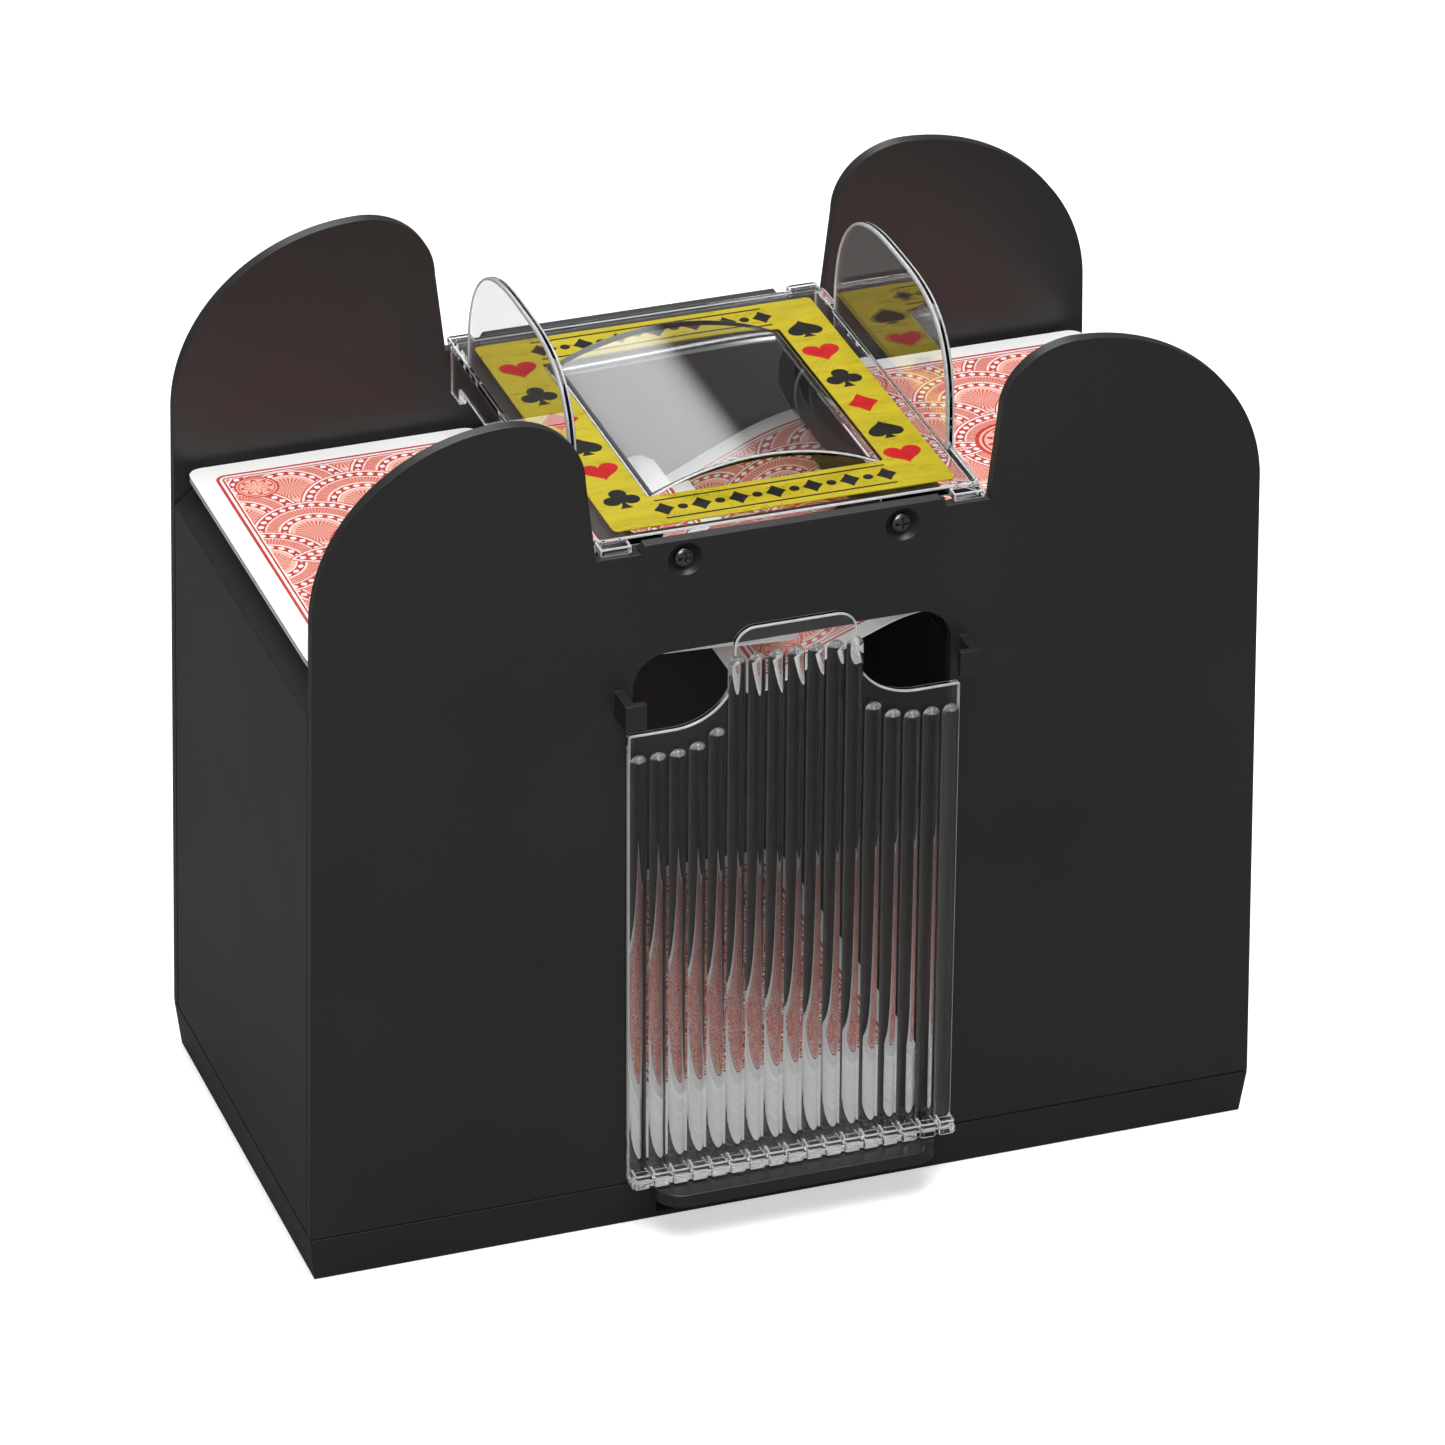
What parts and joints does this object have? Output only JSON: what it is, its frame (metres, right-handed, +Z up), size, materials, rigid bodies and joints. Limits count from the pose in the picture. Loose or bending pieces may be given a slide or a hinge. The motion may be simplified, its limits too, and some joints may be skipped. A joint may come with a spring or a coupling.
{
  "type": "automatic card shuffler",
  "caption": "Black tabletop card shuffler with four rounded ears, two card bays, a clear domed lid over a central well and a clear fluted cover on its front window.",
  "frame": {"origin": "middle of the base's flat underside, midway between the front and rear panels", "axes": "+X along the width to the right as seen from the front, +Y from the front window to the rear, +Z up"},
  "size_m": [0.2078, 0.111, 0.1905],
  "materials": {
    "black_plastic": "satin black moulded ABS with a fine grain",
    "clear_plastic": "polished clear acrylic",
    "gold_foil": "yellow-gold printed foil, lightly wrinkled",
    "playing_cards": "coated card, white edges and red printed backs",
    "steel": "bright drawn steel",
    "black_steel": "blackened steel",
    "rubber": "matt rubber",
    "nylon": "natural nylon",
    "cell_jacket": "plain printed sleeve",
    "brass": "bright brass"
  },
  "bodies": {
    "housing": {"front_panel": "black_plastic", "rear_panel": "black_plastic", "left_end_wall": "black_plastic", "right_end_wall": "black_plastic", "base_pan": "black_plastic", "collector_floor": "black_plastic", "left_well_wall": "black_plastic", "right_well_wall": "black_plastic", "left_tray_floor": "black_plastic", "right_tray_floor": "black_plastic", "feed_frame": "black_plastic", "left_bearing_plate": "black_plastic", "right_bearing_plate": "black_plastic", "left_gear_plate": "black_plastic", "right_gear_plate": "black_plastic", "left_shaft_bush": "nylon", "right_shaft_bush": "nylon", "left_motor": "steel", "right_motor": "steel", "left_idler_pin": "steel", "right_idler_pin": "steel", "battery_box": "black_plastic", "front_contact_strip": "brass", "rear_contact_strip": "brass", "battery_cell_1": "cell_jacket", "battery_cell_2": "cell_jacket", "battery_cell_3": "cell_jacket", "battery_cell_4": "cell_jacket", "switch_body": "black_plastic", "front_screw_left": "black_steel", "front_screw_right": "black_steel", "rear_screw_left": "black_steel", "rear_screw_right": "black_steel", "base_screw_1": "black_steel", "base_screw_2": "black_steel", "base_screw_3": "black_steel", "base_screw_4": "black_steel", "shuffled_card_stack": "playing_cards", "left_fed_card": "playing_cards", "right_fed_card": "playing_cards"},
    "window_cover": {"window_cover": "clear_plastic"},
    "lid": {"lid": "clear_plastic", "lid_label": "gold_foil"},
    "left_roller": {"left_roller_shaft": "steel", "left_roller_tyre_front": "rubber", "left_roller_tyre_rear": "rubber", "left_roller_gear": "nylon"},
    "left_idler": {"left_idler_gear": "nylon"},
    "left_pinion": {"left_motor_pinion": "brass"},
    "left_cards": {"left_card_stack": "playing_cards"},
    "right_roller": {"right_roller_shaft": "steel", "right_roller_tyre_front": "rubber", "right_roller_tyre_rear": "rubber", "right_roller_gear": "nylon"},
    "right_idler": {"right_idler_gear": "nylon"},
    "right_pinion": {"right_motor_pinion": "brass"},
    "right_cards": {"right_card_stack": "playing_cards"},
    "push_button": {"push_button": "black_plastic"},
    "battery_door": {"battery_door": "black_plastic"}
  },
  "joints": [
    {"name": "window_cover_pull", "type": "slide", "parent": "housing", "child": "window_cover", "axis": [0, -1, 0], "range_m": [0, 0.035]},
    {"name": "lid_lift", "type": "slide", "parent": "housing", "child": "lid", "axis": [0, 0, 1], "range_m": [0, 0.06]},
    {"name": "push_button_press", "type": "slide", "parent": "housing", "child": "push_button", "axis": [-1, 0, 0], "range_m": [0, 0.002], "stiffness_N_per_m": 400, "springref_m": -0.002},
    {"name": "battery_door_slide", "type": "slide", "parent": "housing", "child": "battery_door", "axis": [0, 1, 0], "range_m": [0, 0.008]},
    {"name": "left_roller_spin", "type": "hinge", "parent": "housing", "child": "left_roller", "pos_m": [-0.0465, 0, 0.1204], "axis": [0, 1, 0], "continuous": true},
    {"name": "left_idler_spin", "type": "hinge", "parent": "housing", "child": "left_idler", "pos_m": [-0.05202, 0.0443, 0.10957], "axis": [0, 1, 0], "continuous": true},
    {"name": "left_pinion_spin", "type": "hinge", "parent": "housing", "child": "left_pinion", "pos_m": [-0.05969, 0.0443, 0.09628], "axis": [0, 1, 0], "continuous": true},
    {"name": "left_cards_lift", "type": "slide", "parent": "housing", "child": "left_cards", "axis": [0, 0, 1], "range_m": [0, 0.006]},
    {"name": "right_roller_spin", "type": "hinge", "parent": "housing", "child": "right_roller", "pos_m": [0.0465, 0, 0.1204], "axis": [0, -1, 0], "continuous": true},
    {"name": "right_idler_spin", "type": "hinge", "parent": "housing", "child": "right_idler", "pos_m": [0.05202, 0.0443, 0.10957], "axis": [0, -1, 0], "continuous": true},
    {"name": "right_pinion_spin", "type": "hinge", "parent": "housing", "child": "right_pinion", "pos_m": [0.05969, 0.0443, 0.09628], "axis": [0, -1, 0], "continuous": true},
    {"name": "right_cards_lift", "type": "slide", "parent": "housing", "child": "right_cards", "axis": [0, 0, 1], "range_m": [0, 0.006]}
  ],
  "couplings": [
    {"joint": "left_idler_spin", "follows": "left_roller_spin", "ratio": -2},
    {"joint": "left_pinion_spin", "follows": "left_roller_spin", "ratio": 5.6},
    {"joint": "right_idler_spin", "follows": "right_roller_spin", "ratio": -2},
    {"joint": "right_pinion_spin", "follows": "right_roller_spin", "ratio": 5.6}
  ]
}
